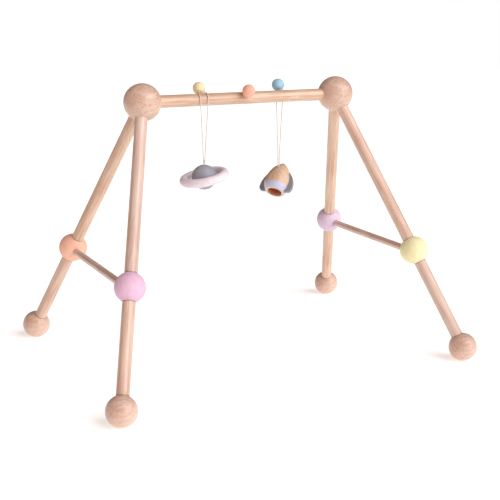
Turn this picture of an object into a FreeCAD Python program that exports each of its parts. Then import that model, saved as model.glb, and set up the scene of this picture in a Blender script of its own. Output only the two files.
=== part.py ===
import FreeCAD, Part
import math
import os

import Sketcher
from FreeCAD import Placement, Rotation, Vector

# Wooden activity play gym: two splayed side frames, a top bar with three pegs, and two hanging toys.
# +Z is up and X runs along the top bar. The front faces -Y.
# The origin is on the floor, under the middle of the top bar.

# Driving dimensions, in millimetres and degrees.
SIZES = {
    # Frame
    "overall_height": 510,
    "corner_spacing": 390,
    "foot_spacing_long": 670,
    "foot_spacing_wide": 486,
    "upper_leg_reach": 331,
    "cross_bar_drop": 4,
    # Balls and dowels
    "corner_ball_d": 66,
    "joint_ball_d": 52,
    "foot_ball_d": 52,
    "foot_flat_d": 11,
    "dowel_d": 22,
    "cross_bar_d": 13,
    "edge_break": 0.8,
    # Sockets, tenons and screwed joints
    "fit_gap": 0.1,
    "end_gap": 0.3,
    "corner_leg_web": 2.2,
    "corner_bar_socket": 13,
    "joint_leg_socket": 9,
    "joint_bar_socket": 10,
    "foot_leg_socket": 16,
    "tenon_d": 12,
    "tenon_length": 10,
    "stud_d": 6,
    "stud_grip": 12,
    "stud_reach": 10,
    "insert_d": 9,
    "insert_length": 12,
    # Pegs
    "peg_spacing": 80,
    "peg_ball_d": 23,
    "peg_reach": 25.5,
    "peg_stem_d": 5,
    "peg_bar_socket": 7,
    "peg_ball_socket": 6,
    "left_peg_lean": 42,
    "middle_peg_lean": -56,
    "right_peg_lean": 40,
    # Cords
    "cord_d": 2,
    "cord_split_height": 470,
    "cord_split_gap": 0.9,
    "cord_hole_d": 5,
    "knot_d": 4.8,
    "end_knot_d": 7,
    # Ringed planet
    "planet_d": 45,
    "planet_height": 340.3,
    "planet_counterbore_d": 9,
    "planet_counterbore": 8,
    "ring_mean_d": 74.6,
    "ring_thickness": 16,
    "ring_tilt": 12,
    "ring_pin_d": 4,
    "ring_pin_grip": 12,
    "ring_pin_reach": 4,
    "ring_turn_gap": 0.06,
    # Rocket
    "rocket_length": 65,
    "rocket_d": 49,
    "rocket_tip_d": 2.4,
    "rocket_belt_height": 18,
    "rocket_mouth_d": 35.6,
    "rocket_wall": 4,
    "rocket_hollow": 23,
    "rocket_tilt": 42,
    "rocket_heading": 38,
    "rocket_hole_height": 344,
    "rocket_hole_station": 46.2,
    "fin_top": 43,
    "fin_bottom": 1.5,
    "fin_crest": 10.5,
    "fin_rise": 9,
    "fin_thickness": 6,
    "fin_seat": 2.5,
    "fin_turn": 87,
}

# Routes of the two hanging cords, from the toy's end knot up one strand, over the top bar, round a
# peg stem, and down the other strand to the same knot.
PLANET_ROUTE = [
    (-85.55, -12.3, 323.0),
    (-85.55, -12.3, 369.0),
    (-90.9, -12.3, 481.2),
    (-90.4, -7.3, 487.8),
    (-88.9, 0.7, 490.0),
    (-86.6, 7.6, 487.4),
    (-83.6, 11.1, 483.4),
    (-77.0, 11.2, 483.2),
    (-74.6, 7.8, 487.3),
    (-74.3, 0.9, 490.0),
    (-74.6, -7.1, 487.9),
    (-75.5, -12.3, 481.2),
    (-83.45, -12.3, 369.0),
    (-83.45, -12.3, 323.0),
]
ROCKET_ROUTE = [
    (79.95, 12.3, 307.7),
    (79.95, 12.3, 354.0),
    (74.7, 12.3, 481.2),
    (74.7, 8.8, 486.5),
    (77.0, 3.9, 489.2),
    (83.5, 3.7, 489.2),
    (87.1, 8.0, 487.1),
    (88.4, 12.3, 481.2),
    (82.05, 12.3, 354.0),
    (82.05, 12.3, 307.7),
]

ARC_SHARE = 0.45
OVERRUN = 5
UP = Vector(0, 0, 1)
SIDES = {"left": -1, "right": 1}
ENDS = {"front": -1, "rear": 1}

doc = FreeCAD.newDocument("play_gym")
sheet = doc.addObject("Spreadsheet::Sheet", "Sizes")
pieces = {}


def fill_sheet():
    """Write each driving dimension to a cell of the sheet, with its alias."""
    for row, (name, size) in enumerate(SIZES.items(), start=1):
        sheet.set(f"A{row}", name)
        sheet.set(f"B{row}", str(size))
        sheet.setAlias(f"B{row}", name)
    doc.recompute()


def value(expression):
    """Give the number that an expression on the sheet has now."""
    result = sheet.evalExpression(expression)
    return float(getattr(result, "Value", result))


def along(start, direction):
    """Place a piece's own Z axis along a direction, starting at a point."""
    return Placement(start, Rotation(UP, direction))


def keep(piece, label):
    """Name a finished piece, so that it is written as a node."""
    piece.Label = label
    pieces[label] = piece
    return piece


def cylinder(name, radius, height, start, direction):
    """Make a cylinder with its size bound to the sheet."""
    solid = doc.addObject("Part::Cylinder", name)
    solid.setExpression("Radius", radius)
    solid.setExpression("Height", height)
    solid.Placement = along(start, direction)
    return solid


def sphere(name, diameter, centre):
    """Make a ball with its diameter bound to the sheet."""
    solid = doc.addObject("Part::Sphere", name)
    solid.setExpression("Radius", f"{diameter} / 2")
    solid.Placement.Base = centre
    return solid


def cut(name, base, tools):
    """Cut one or more tools out of a base."""
    tool = tools[0]
    if len(tools) > 1:
        tool = doc.addObject("Part::MultiFuse", f"{name}_cutters")
        tool.Shapes = tools
    result = doc.addObject("Part::Cut", name)
    result.Base = base
    result.Tool = tool
    return result


def group(label, solids):
    """Keep several separate solids as one node."""
    bundle = doc.addObject("Part::Compound", label)
    bundle.Links = solids
    return keep(bundle, label)


def drilled(name, radius, depth, surface, outward):
    """Make the cutter of a blind hole of this depth, from a point on the surface inwards."""
    floor = surface - outward * value(depth)
    return cylinder(name, radius, f"{depth} + {OVERRUN}", floor, outward)


def body_sketch(body, name):
    """Start a sketch on the body's own XZ plane."""
    sketch = body.newObject("Sketcher::SketchObject", name)
    plane = next(item for item in body.Origin.OriginFeatures if item.Role == "XZ_Plane")
    sketch.AttachmentSupport = (plane, "")
    sketch.MapMode = "FlatFace"
    return sketch


def outline(sketch, corners, arcs=None):
    """Draw a closed outline through corners given as expressions, with some runs as arcs.

    arcs maps a run's number to its radius and to the side, 1 left or -1 right, of its centre.
    """
    arcs = arcs or {}
    points = [Vector(value(x), value(y), 0) for x, y in corners]
    for index, start in enumerate(points):
        end = points[(index + 1) % len(points)]
        if index in arcs:
            radius = value(arcs[index][0])
            half = (end - start) * 0.5
            inward = Vector(-half.y, half.x, 0).normalize() * arcs[index][1]
            rise = math.sqrt(radius**2 - half.Length**2)
            middle = start + half + inward * (rise - radius)
            sketch.addGeometry(Part.Arc(start, middle, end), False)
        else:
            sketch.addGeometry(Part.LineSegment(start, end), False)
    # A sketch keeps every arc anticlockwise, so one with its centre on the right starts at its end 2.
    first = [2 if index in arcs and arcs[index][1] < 0 else 1 for index in range(len(points))]
    for index in range(len(points)):
        before = (index - 1) % len(points)
        joined = Sketcher.Constraint("Coincident", before, 3 - first[before], index, first[index])
        sketch.addConstraint(joined)
    for index, (radius, _) in arcs.items():
        number = sketch.addConstraint(Sketcher.Constraint("Radius", index, value(radius)))
        sketch.setExpression(f"Constraints[{number}]", radius)
    for index, (x, y) in enumerate(corners):
        for kind, expression, axis in (("DistanceX", x, -2), ("DistanceY", y, -1)):
            if expression == "0":
                sketch.addConstraint(Sketcher.Constraint("PointOnObject", index, first[index], axis))
                continue
            number = sketch.addConstraint(
                Sketcher.Constraint(kind, -1, 1, index, first[index], value(expression))
            )
            sketch.setExpression(f"Constraints[{number}]", expression)


def turned(name, corners, placement, arcs=None):
    """Turn an outline round the piece's own Z axis, as on a lathe."""
    body = doc.addObject("PartDesign::Body", name)
    sketch = body_sketch(body, f"{name}_outline")
    outline(sketch, corners, arcs)
    turning = body.newObject("PartDesign::Revolution", f"{name}_turning")
    turning.Profile = sketch
    turning.ReferenceAxis = (sketch, ["V_Axis"])
    turning.Angle = 360
    body.Placement = placement
    return body


# ---- Layout of the frame ----

fill_sheet()


def corner_centre(side):
    """Give the centre of a corner ball."""
    height = value("Sizes.overall_height - Sizes.corner_ball_d / 2")
    return Vector(side * value("Sizes.corner_spacing / 2"), 0, height)


def foot_centre(side, end):
    """Give the centre of a foot ball, whose sanded flat lies on the floor."""
    height = value("sqrt(Sizes.foot_ball_d ^ 2 - Sizes.foot_flat_d ^ 2) / 2")
    across = value("Sizes.foot_spacing_long / 2")
    return Vector(side * across, end * value("Sizes.foot_spacing_wide / 2"), height)


def leg_direction(side, end):
    """Give the direction of a leg, from its foot up to its corner ball."""
    return (corner_centre(side) - foot_centre(side, end)).normalize()


def joint_centre(side, end):
    """Give the centre of the ball that joins a leg's two halves."""
    return corner_centre(side) - leg_direction(side, end) * value("Sizes.upper_leg_reach")


def cross_bar_point(side, end):
    """Give the point of a cross bar's axis beside a joint ball's centre."""
    down = Vector(side * value("(Sizes.foot_spacing_long - Sizes.corner_spacing) / 2"), 0, 0)
    down.z = foot_centre(side, end).z - corner_centre(side).z
    return joint_centre(side, end) + down.normalize() * value("Sizes.cross_bar_drop")


def peg_direction(lean):
    """Give the direction of a peg that leans this many degrees to the rear."""
    angle = math.radians(value(lean))
    return Vector(0, math.sin(angle), math.cos(angle))


PEGS = {
    "left": (-1, "Sizes.left_peg_lean"),
    "middle": (0, "Sizes.middle_peg_lean"),
    "right": (1, "Sizes.right_peg_lean"),
}
DOWEL = "Sizes.dowel_d / 2"
SOCKET = "Sizes.dowel_d / 2 + Sizes.fit_gap"
BAR_HEIGHT = value("Sizes.overall_height - Sizes.corner_ball_d / 2")


# ---- Side frames ----


LEG_RISE = (
    "(Sizes.overall_height - Sizes.corner_ball_d / 2"
    " - sqrt(Sizes.foot_ball_d ^ 2 - Sizes.foot_flat_d ^ 2) / 2)"
)
LEG_RUN = "((Sizes.foot_spacing_long - Sizes.corner_spacing) / 2)"
LEG_WHOLE = f"sqrt({LEG_RISE} ^ 2 + {LEG_RUN} ^ 2 + (Sizes.foot_spacing_wide / 2) ^ 2)"
LEG_SPLAY = f"(Sizes.foot_spacing_wide / 2 / {LEG_WHOLE})"
LEG_SLOPE = f"sqrt(1 - {LEG_SPLAY} ^ 2)"
# How far a leg's socket stops from the corner ball's centre, so that a web of wood is left
# between the front and the rear leg.
CORNER_FLOOR = f"((Sizes.corner_leg_web / 2 + ({SOCKET}) * {LEG_SLOPE}) / {LEG_SPLAY})"


def make_corner_ball(word, side):
    """Drill a corner ball for the top bar, its stud and two legs with their tenons."""
    centre = corner_centre(side)
    radius = value("Sizes.corner_ball_d / 2")
    inward = Vector(-side, 0, 0)
    name = f"corner_ball_{word}"
    mouth = centre + inward * radius
    floor = mouth - inward * value("Sizes.corner_bar_socket")
    cutters = [
        drilled(f"{name}_bar_socket", SOCKET, "Sizes.corner_bar_socket", mouth, inward),
        drilled(f"{name}_stud_hole", "Sizes.stud_d / 2", "Sizes.stud_grip", floor, inward),
    ]
    for word_end, end in ENDS.items():
        down = leg_direction(side, end) * -1
        mouth = centre + down * radius
        floor = centre + down * value(CORNER_FLOOR)
        socket = f"Sizes.corner_ball_d / 2 - {CORNER_FLOOR}"
        hole = f"{name}_{word_end}"
        bore = "Sizes.tenon_d / 2 + Sizes.fit_gap"
        depth = "Sizes.tenon_length + Sizes.end_gap"
        cutters.append(drilled(f"{hole}_socket", SOCKET, socket, mouth, down))
        cutters.append(drilled(f"{hole}_tenon_hole", bore, depth, floor, down))
    ball = cut(name, sphere(f"{name}_blank", "Sizes.corner_ball_d", centre), cutters)
    keep(ball, name)


def make_joint_ball(word, side, end):
    """Drill a joint ball for the upper leg, the lower leg's insert and the cross bar."""
    centre = joint_centre(side, end)
    radius = value("Sizes.joint_ball_d / 2")
    up = leg_direction(side, end)
    inward = Vector(0, -end, 0)
    name = f"joint_ball_{word}"
    upper = centre + up * radius
    lower = centre - up * radius
    upper_floor = upper - up * value("Sizes.joint_leg_socket")
    lower_floor = lower + up * value("Sizes.joint_leg_socket")
    bar_mouth = cross_bar_point(side, end) + inward * radius
    tenon_bore = "Sizes.tenon_d / 2 + Sizes.fit_gap"
    tenon_depth = "Sizes.tenon_length + Sizes.end_gap"
    bar_bore = "Sizes.cross_bar_d / 2 + Sizes.fit_gap"
    cutters = [
        drilled(f"{name}_upper_socket", SOCKET, "Sizes.joint_leg_socket", upper, up),
        drilled(f"{name}_tenon_hole", tenon_bore, tenon_depth, upper_floor, up),
        drilled(f"{name}_lower_socket", SOCKET, "Sizes.joint_leg_socket", lower, up * -1),
        drilled(f"{name}_insert_hole", "Sizes.insert_d / 2", "Sizes.insert_length", lower_floor, up * -1),
        drilled(f"{name}_bar_socket", bar_bore, "Sizes.joint_bar_socket", bar_mouth, inward),
    ]
    ball = cut(name, sphere(f"{name}_blank", "Sizes.joint_ball_d", centre), cutters)
    keep(ball, name)


def make_foot_ball(word, side, end):
    """Drill a foot ball for its leg and sand a small flat under it to stand on."""
    centre = foot_centre(side, end)
    up = leg_direction(side, end)
    name = f"foot_ball_{word}"
    mouth = centre + up * value("Sizes.foot_ball_d / 2")
    socket = drilled(f"{name}_socket", SOCKET, "Sizes.foot_leg_socket", mouth, up)
    floor = doc.addObject("Part::Box", f"{name}_sanding")
    for side_name in ("Length", "Width", "Height"):
        floor.setExpression(side_name, "Sizes.foot_ball_d")
    half = value("Sizes.foot_ball_d / 2")
    floor.Placement.Base = Vector(centre.x - half, centre.y - half, -2 * half)
    ball = cut(name, sphere(f"{name}_blank", "Sizes.foot_ball_d", centre), [socket, floor])
    keep(ball, name)


def make_upper_leg(word, side, end):
    """Turn an upper leg with a tenon at each end, glued into the two balls."""
    shaft = (
        f"(Sizes.upper_leg_reach - {CORNER_FLOOR}"
        " - Sizes.joint_ball_d / 2 + Sizes.joint_leg_socket - 2 * Sizes.end_gap)"
    )
    tenon = "Sizes.tenon_length"
    slim = "Sizes.tenon_d / 2"
    total = f"2 * {tenon} + {shaft}"
    corners = [
        ("0", "0"),
        (f"{slim} - Sizes.edge_break", "0"),
        (slim, "Sizes.edge_break"),
        (slim, tenon),
        (DOWEL, tenon),
        (DOWEL, f"{tenon} + {shaft}"),
        (slim, f"{tenon} + {shaft}"),
        (slim, f"{total} - Sizes.edge_break"),
        (f"{slim} - Sizes.edge_break", total),
        ("0", total),
    ]
    up = leg_direction(side, end)
    seat = value("Sizes.joint_ball_d / 2 - Sizes.joint_leg_socket + Sizes.end_gap")
    start = joint_centre(side, end) + up * (seat - value(tenon))
    leg = turned(f"upper_leg_{word}", corners, along(start, up))
    keep(leg, f"upper_leg_{word}")


def make_lower_leg(word, side, end):
    """Turn a lower leg, with a pilot hole for the stud that screws into the joint ball."""
    foot = foot_centre(side, end)
    top = "Sizes.joint_ball_d / 2 - Sizes.joint_leg_socket + Sizes.end_gap"
    bottom = "Sizes.foot_ball_d / 2 - Sizes.foot_leg_socket + Sizes.end_gap"
    length = f"({LEG_WHOLE} - Sizes.upper_leg_reach - ({top}) - ({bottom}))"
    corners = [
        ("0", "0"),
        (f"{DOWEL} - Sizes.edge_break", "0"),
        (DOWEL, "Sizes.edge_break"),
        (DOWEL, length),
        ("Sizes.stud_d / 2", length),
        ("Sizes.stud_d / 2", f"{length} - Sizes.stud_grip"),
        ("0", f"{length} - Sizes.stud_grip"),
    ]
    up = leg_direction(side, end)
    leg = turned(f"lower_leg_{word}", corners, along(foot + up * value(bottom), up))
    keep(leg, f"lower_leg_{word}")


def make_cross_bar(word, side):
    """Turn the thin bar between a side frame's two joint balls."""
    front = cross_bar_point(side, ENDS["front"])
    rear = cross_bar_point(side, ENDS["rear"])
    seat = value("Sizes.joint_ball_d / 2 - Sizes.joint_bar_socket + Sizes.end_gap")
    start = front + Vector(0, seat, 0)
    length = f"({rear.y - front.y - 2 * seat})"
    radius = "Sizes.cross_bar_d / 2"
    corners = [
        ("0", "0"),
        (f"{radius} - Sizes.edge_break", "0"),
        (radius, "Sizes.edge_break"),
        (radius, f"{length} - Sizes.edge_break"),
        (f"{radius} - Sizes.edge_break", length),
        ("0", length),
    ]
    bar = turned(f"cross_bar_{word}", corners, along(start, Vector(0, 1, 0)))
    keep(bar, f"cross_bar_{word}")


def make_leg_fixings():
    """Make the studs in the lower legs and the threaded inserts in the joint balls."""
    studs = []
    inserts = []
    for word_side, side in SIDES.items():
        for word_end, end in ENDS.items():
            name = f"{word_end}_{word_side}"
            up = leg_direction(side, end)
            floor = value("Sizes.joint_ball_d / 2 - Sizes.joint_leg_socket")
            mouth = joint_centre(side, end) - up * floor
            grip = value("Sizes.end_gap + Sizes.stud_grip")
            length = "Sizes.stud_grip + Sizes.end_gap + Sizes.stud_reach"
            radius = "Sizes.stud_d / 2 - Sizes.fit_gap / 2"
            studs.append(cylinder(f"stud_{name}", radius, length, mouth - up * grip, up))
            insert = sleeve(f"insert_{name}", mouth, up)
            inserts.append(insert)
    group("leg_studs", studs)
    group("leg_inserts", inserts)


def sleeve(name, mouth, inward):
    """Make one threaded insert, from the mouth of its hole inwards."""
    length = "Sizes.insert_length"
    outer = cylinder(f"{name}_blank", "Sizes.insert_d / 2 - Sizes.fit_gap / 2", length, mouth, inward)
    bore = cylinder(f"{name}_bore", "Sizes.stud_d / 2", length, mouth, inward)
    return cut(name, outer, [bore])


# ---- Top bar and pegs ----


def make_top_bar():
    """Turn the top bar, with a hole for an insert in each end and three holes for peg stems."""
    reach = "(Sizes.corner_spacing / 2 - Sizes.corner_ball_d / 2"
    reach += " + Sizes.corner_bar_socket - Sizes.end_gap)"
    length = f"2 * {reach}"
    hole = "Sizes.insert_d / 2"
    corners = [
        ("0", "Sizes.insert_length"),
        (hole, "Sizes.insert_length"),
        (hole, "0"),
        (DOWEL, "0"),
        (DOWEL, length),
        (hole, length),
        (hole, f"{length} - Sizes.insert_length"),
        ("0", f"{length} - Sizes.insert_length"),
    ]
    start = Vector(-value(reach), 0, BAR_HEIGHT)
    blank = turned("top_bar_blank", corners, along(start, Vector(1, 0, 0)))
    holes = []
    for word, (place, lean) in PEGS.items():
        outward = peg_direction(lean)
        surface = peg_foot(place) + outward * value(DOWEL)
        radius = "Sizes.peg_stem_d / 2 + Sizes.fit_gap"
        holes.append(drilled(f"peg_hole_{word}", radius, "Sizes.peg_bar_socket", surface, outward))
    keep(cut("top_bar", blank, holes), "top_bar")


def peg_foot(place):
    """Give the point of the top bar's axis that a peg points away from."""
    return Vector(place * value("Sizes.peg_spacing"), 0, BAR_HEIGHT)


def make_bar_fixings():
    """Make the studs in the corner balls and the threaded inserts in the bar's ends."""
    studs = []
    inserts = []
    for word, side in SIDES.items():
        inward = Vector(-side, 0, 0)
        floor = value("Sizes.corner_ball_d / 2 - Sizes.corner_bar_socket")
        seat = corner_centre(side) + inward * floor
        length = "Sizes.stud_grip + Sizes.end_gap + Sizes.stud_reach"
        radius = "Sizes.stud_d / 2 - Sizes.fit_gap / 2"
        start = seat - inward * value("Sizes.stud_grip")
        studs.append(cylinder(f"bar_stud_{word}", radius, length, start, inward))
        mouth = seat + inward * value("Sizes.end_gap")
        inserts.append(sleeve(f"bar_insert_{word}", mouth, inward))
    group("bar_studs", studs)
    group("bar_inserts", inserts)


def make_peg(word, place, lean):
    """Make a peg: a thin stem glued into the bar, with a ball glued on it."""
    outward = peg_direction(lean)
    foot = peg_foot(place)
    centre = foot + outward * value("Sizes.peg_reach")
    low = "(Sizes.dowel_d / 2 - Sizes.peg_bar_socket + Sizes.end_gap)"
    high = "(Sizes.peg_reach - Sizes.peg_ball_d / 2 + Sizes.peg_ball_socket - Sizes.end_gap)"
    stem = cylinder(
        f"peg_stem_{word}", "Sizes.peg_stem_d / 2", f"{high} - {low}", foot + outward * value(low), outward
    )
    keep(stem, f"peg_stem_{word}")
    near = centre - outward * value("Sizes.peg_ball_d / 2")
    bore = "Sizes.peg_stem_d / 2 + Sizes.fit_gap"
    socket = drilled(f"peg_ball_{word}_socket", bore, "Sizes.peg_ball_socket", near, outward * -1)
    ball = cut(f"peg_ball_{word}", sphere(f"peg_ball_{word}_blank", "Sizes.peg_ball_d", centre), [socket])
    keep(ball, f"peg_ball_{word}")


# ---- Cords ----


def rounded_path(points):
    """Join straight runs with tangent arcs as large as each pair of runs allows."""
    edges = []
    radii = []
    start = points[0]
    for before, corner, after in zip(points, points[1:], points[2:]):
        back = (before - corner).normalize()
        ahead = (after - corner).normalize()
        half_turn = (math.pi - back.getAngle(ahead)) / 2
        cut_back = ARC_SHARE * min(before.distanceToPoint(corner), corner.distanceToPoint(after))
        radius = cut_back / math.tan(half_turn)
        first = corner + back * cut_back
        last = corner + ahead * cut_back
        bisector = (back + ahead).normalize()
        middle = corner + bisector * (radius / math.cos(half_turn) - radius)
        edges.append(Part.LineSegment(start, first).toShape())
        edges.append(Part.Arc(first, middle, last).toShape())
        radii.append(radius)
        start = last
    edges.append(Part.LineSegment(start, points[-1]).toShape())
    return Part.Wire(edges), radii


def tube(name, points):
    """Sweep the cord's round section along a route, and compare its volume with its length."""
    path, radii = rounded_path(points)
    radius = value("Sizes.cord_d / 2")
    section = Part.Wire(Part.makeCircle(radius, points[0], points[1] - points[0]))
    solid = path.makePipeShell([section], True, False)
    share = solid.Volume / (math.pi * radius**2 * path.Length)
    rounded = ", ".join(f"{r:.1f}" for r in radii)
    print(f"{name}: length {path.Length:.1f}, volume share {share:.4f}, radii {rounded}")
    feature = doc.addObject("Part::Feature", name)
    feature.Shape = solid
    return feature, path.Length


def split_point(low, high, step):
    """Give the point of a strand at a step above the height where the swing turns."""
    level = value("Sizes.cord_split_height") + step
    return low + (high - low) * ((level - low.z) / (high.z - low.z))


def make_cord(toy, route):
    """Make a toy's cord: the loop that stays on the bar, and the two strands that swing."""
    points = [Vector(*point) for point in route]
    runs = ((points[1], points[2]), (points[-2], points[-3]))
    # The strands' ends turn under the loop's ends, so a little room is left between them.
    room = value("Sizes.cord_split_gap / 2")
    first, last = (split_point(low, high, room) for low, high in runs)
    loop, loop_length = tube(f"{toy}_loop", [first] + points[2:-2] + [last])
    keep(loop, f"{toy}_loop")
    first, last = (split_point(low, high, -room) for low, high in runs)
    one, one_length = tube(f"{toy}_strand_one", points[:2] + [first])
    two, two_length = tube(f"{toy}_strand_two", points[:-3:-1] + [last])
    group(f"{toy}_cord", [one, two])
    print(f"{toy} cord, whole length {loop_length + one_length + two_length + 4 * room:.1f}")


# ---- Ringed planet ----


def make_planet():
    """Drill the planet for its cord, end knot and ring pins, and seat the ring on the pins."""
    route = [Vector(*point) for point in PLANET_ROUTE]
    hang = (route[0] + route[-1]) * 0.5
    centre = Vector(hang.x, hang.y, value("Sizes.planet_height"))
    radius = value("Sizes.planet_d / 2")
    bottom = centre - UP * radius
    tilt = math.radians(value("Sizes.ring_tilt"))
    pin_axis = Vector(math.cos(tilt), 0, math.sin(tilt))
    knot_depth = "Sizes.planet_counterbore"
    through = cylinder("planet_cord_hole", "Sizes.cord_hole_d / 2", "Sizes.planet_d", bottom, UP)
    pocket = drilled("planet_pocket", "Sizes.planet_counterbore_d / 2", knot_depth, bottom, UP * -1)
    cutters = [through, pocket]
    pins = []
    ring_holes = []
    for word, side in SIDES.items():
        outward = pin_axis * side
        mouth = centre + outward * radius
        grip = "Sizes.ring_pin_grip + Sizes.end_gap"
        bore = "Sizes.ring_pin_d / 2 + Sizes.ring_turn_gap"
        cutters.append(drilled(f"planet_pin_hole_{word}", bore, grip, mouth, outward))
        span = "Sizes.ring_mean_d / 2 + Sizes.ring_pin_reach - Sizes.planet_d / 2 + Sizes.ring_pin_grip"
        start = mouth - outward * value("Sizes.ring_pin_grip")
        pins.append(cylinder(f"ring_pin_{word}", "Sizes.ring_pin_d / 2", span, start, outward))
        inner = "Sizes.ring_mean_d / 2 - Sizes.ring_thickness / 2"
        reach = f"Sizes.ring_mean_d / 2 + Sizes.ring_pin_reach + Sizes.end_gap - ({inner}) + {OVERRUN}"
        start = centre + outward * (value(inner) - OVERRUN)
        ring_holes.append(cylinder(f"ring_hole_{word}", bore, reach, start, outward))
    keep(cut("planet", sphere("planet_blank", "Sizes.planet_d", centre), cutters), "planet")
    group("ring_pins", pins)
    ring = doc.addObject("Part::Torus", "planet_ring_blank")
    ring.setExpression("Radius1", "Sizes.ring_mean_d / 2")
    ring.setExpression("Radius2", "Sizes.ring_thickness / 2")
    ring.Placement = Placement(centre, Rotation(Vector(0, 1, 0), -value("Sizes.ring_tilt")))
    keep(cut("planet_ring", ring, ring_holes), "planet_ring")
    knot = sphere("planet_knot", "Sizes.knot_d", Vector(hang.x, hang.y, route[1].z))
    keep(knot, "planet_knot")
    keep(sphere("planet_end_knot", "Sizes.end_knot_d", hang), "planet_end_knot")


# ---- Rocket ----


def rocket_axis():
    """Give the direction of the rocket's nose as it hangs."""
    tilt = math.radians(value("Sizes.rocket_tilt"))
    heading = math.radians(value("Sizes.rocket_heading"))
    level = Vector(math.cos(heading), math.sin(heading), 0)
    return level * math.sin(tilt) + UP * math.cos(tilt)


NOSE_RISE = "(Sizes.rocket_length - Sizes.rocket_belt_height)"
NOSE_ARC = f"(({NOSE_RISE} ^ 2 + (Sizes.rocket_d / 2) ^ 2) / Sizes.rocket_d)"
TAIL_STEP = "((Sizes.rocket_d - Sizes.rocket_mouth_d) / 2)"
TAIL_ARC = f"((Sizes.rocket_belt_height ^ 2 + {TAIL_STEP} ^ 2) / (2 * {TAIL_STEP}))"


def rocket_radius(station):
    """Give the radius of the rocket's nose at a distance from its mouth."""
    arc = value(NOSE_ARC)
    offset = arc - value("Sizes.rocket_d / 2")
    return math.sqrt(arc**2 - (station - value("Sizes.rocket_belt_height")) ** 2) - offset


def rocket_placement():
    """Hang the rocket by the hole in its upper flank, straight under the two strands."""
    axis = rocket_axis()
    station = value("Sizes.rocket_hole_station")
    flank = (UP - axis * UP.dot(axis)).normalize()
    route = [Vector(*point) for point in ROCKET_ROUTE]
    hang = (route[0] + route[-1]) * 0.5
    hole = Vector(hang.x, hang.y, value("Sizes.rocket_hole_height"))
    mouth = hole - flank * rocket_radius(station) - axis * station
    # The piece's own X axis points to the upper flank.
    return Placement(mouth, Rotation(flank, Vector(), axis, "ZXY"))


def make_rocket_shell(place):
    """Turn the outside of the rocket: a short tail arc up to the belt, and a long nose arc."""
    offset = f"({NOSE_ARC} - Sizes.rocket_d / 2 + Sizes.rocket_tip_d / 2)"
    tip = f"Sizes.rocket_belt_height + sqrt({NOSE_ARC} ^ 2 - {offset} ^ 2)"
    corners = [
        ("0", "0"),
        ("Sizes.rocket_mouth_d / 2", "0"),
        ("Sizes.rocket_d / 2", "Sizes.rocket_belt_height"),
        ("Sizes.rocket_tip_d / 2", tip),
        ("0", tip),
    ]
    return turned("rocket_blank", corners, place, {1: (TAIL_ARC, 1), 2: (NOSE_ARC, 1)})


def fin_board(name, thickness, azimuth, place):
    """Saw one fin, whose root follows the body a little way in, and turn it round the axis."""
    body = doc.addObject("PartDesign::Body", name)
    sketch = body_sketch(body, f"{name}_outline")
    belt = "Sizes.rocket_belt_height"
    crest = "(Sizes.rocket_d / 2 + Sizes.fin_rise)"
    heel_step = "(Sizes.fin_rise / 2)"
    neck_step = "(1.5 * Sizes.fin_rise)"
    lower = "(Sizes.fin_crest - Sizes.fin_bottom)"
    upper = "(Sizes.fin_top - Sizes.fin_crest)"
    nose = f"({NOSE_ARC} - Sizes.fin_seat)"
    tail = f"({TAIL_ARC} - Sizes.fin_seat)"
    root_low = f"sqrt({tail} ^ 2 - ({belt} - Sizes.fin_bottom) ^ 2) - {TAIL_ARC} + Sizes.rocket_d / 2"
    root_high = f"sqrt({nose} ^ 2 - (Sizes.fin_top - {belt}) ^ 2) - {NOSE_ARC} + Sizes.rocket_d / 2"
    corners = [
        (root_low, "Sizes.fin_bottom"),
        (f"{crest} - {heel_step}", "Sizes.fin_bottom"),
        (crest, "Sizes.fin_crest"),
        (f"{crest} - {neck_step}", "Sizes.fin_top"),
        (root_high, "Sizes.fin_top"),
        ("Sizes.rocket_d / 2 - Sizes.fin_seat", belt),
    ]
    arcs = {
        1: (f"({lower} ^ 2 + {heel_step} ^ 2) / (2 * {heel_step})", 1),
        2: (f"({upper} ^ 2 + {neck_step} ^ 2) / (2 * {neck_step})", 1),
        4: (nose, -1),
        5: (tail, -1),
    }
    outline(sketch, corners, arcs)
    pad = body.newObject("PartDesign::Pad", f"{name}_board")
    pad.Profile = sketch
    pad.setExpression("Length", thickness)
    pad.SideType = "Symmetric"
    body.Placement = place * Placement(Vector(), Rotation(UP, azimuth))
    return body


def hollow_point(hang, place):
    """Give the point of the cord's line that is level with the hollow's ceiling."""
    axis = rocket_axis()
    depth = value("Sizes.rocket_hollow")
    gap = (place.Base + axis * depth - hang).dot(axis)
    return hang + UP * (gap / axis.z)


def make_rocket():
    """Turn the hollow rocket, slot it for its fins, and drill its upper flank for the cord."""
    place = rocket_placement()
    shell = make_rocket_shell(place)
    axis = rocket_axis()
    bore = "Sizes.rocket_mouth_d / 2 - Sizes.rocket_wall"
    hollow = cylinder("rocket_hollow", bore, f"Sizes.rocket_hollow + {OVERRUN}", Vector(), UP)
    hollow.Placement = along(place.Base - axis * OVERRUN, axis)
    route = [Vector(*point) for point in ROCKET_ROUTE]
    hang = (route[0] + route[-1]) * 0.5
    low = hollow_point(hang, place) - UP * OVERRUN
    height = f"Sizes.rocket_hole_height - {low.z} + {OVERRUN}"
    cord_hole = cylinder("rocket_cord_hole", "Sizes.cord_hole_d / 2", height, low, UP)
    cutters = [hollow, cord_hole]
    for number in (1, 2):
        azimuth = value("Sizes.fin_turn") + 180 * (number - 1)
        slot_width = "Sizes.fin_thickness + 2 * Sizes.fit_gap"
        cutters.append(fin_board(f"fin_slot_{number}", slot_width, azimuth, place))
        fin = fin_board(f"rocket_fin_{number}", "Sizes.fin_thickness", azimuth, place)
        keep(fin, f"rocket_fin_{number}")
    keep(cut("rocket_body", shell, cutters), "rocket_body")
    keep(sphere("rocket_end_knot", "Sizes.end_knot_d", hang), "rocket_end_knot")


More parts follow.
